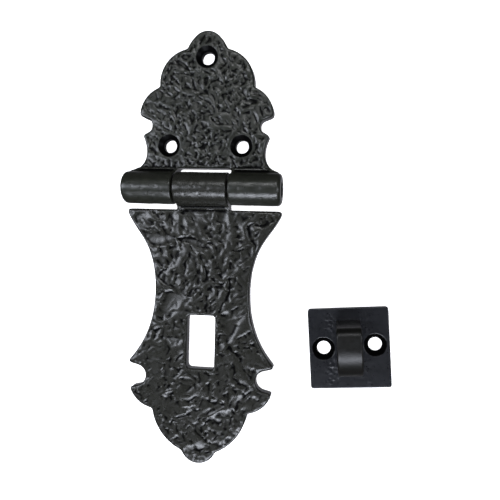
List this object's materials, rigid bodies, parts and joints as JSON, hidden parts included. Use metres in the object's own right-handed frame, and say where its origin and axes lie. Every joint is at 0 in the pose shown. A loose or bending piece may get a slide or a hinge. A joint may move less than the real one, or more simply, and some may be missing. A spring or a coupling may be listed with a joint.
{
  "type": "hasp and staple",
  "caption": "Ornamental black hasp: a lobed fixed leaf hinged to a long slotted leaf with a hammered surface, and a separate square staple plate with a bent strap loop.",
  "frame": {"origin": "on the mounting plane, midway between the fixed leaf's lower pair of screw holes", "axes": "+Z out of the mounting plane, +Y from the hinge towards the fixed leaf's crown, +X along the hinge towards the staple"},
  "size_m": [0.1025, 0.1648, 0.0205],
  "materials": {
    "leaf_paint": "semi-gloss black paint over hammered cast iron",
    "staple_paint": "semi-gloss black paint over flat steel",
    "pin_steel": "black painted steel pin"
  },
  "bodies": {
    "root": {"fixed_leaf": "leaf_paint", "hinge_pin": "pin_steel"},
    "hasp": {"hasp_leaf": "leaf_paint"},
    "staple": {"staple_plate": "staple_paint", "staple_loop": "staple_paint"}
  },
  "joints": [
    {"name": "hasp_swing", "type": "hinge", "parent": "root", "child": "hasp", "pos_m": [0, -0.0163, 0.0062], "axis": [-1, 0, 0], "range_deg": [0, 180]},
    {"name": "staple_slide", "type": "slide", "parent": "root", "child": "staple", "axis": [1, 0, 0], "range_m": [0, 0.03]}
  ]
}
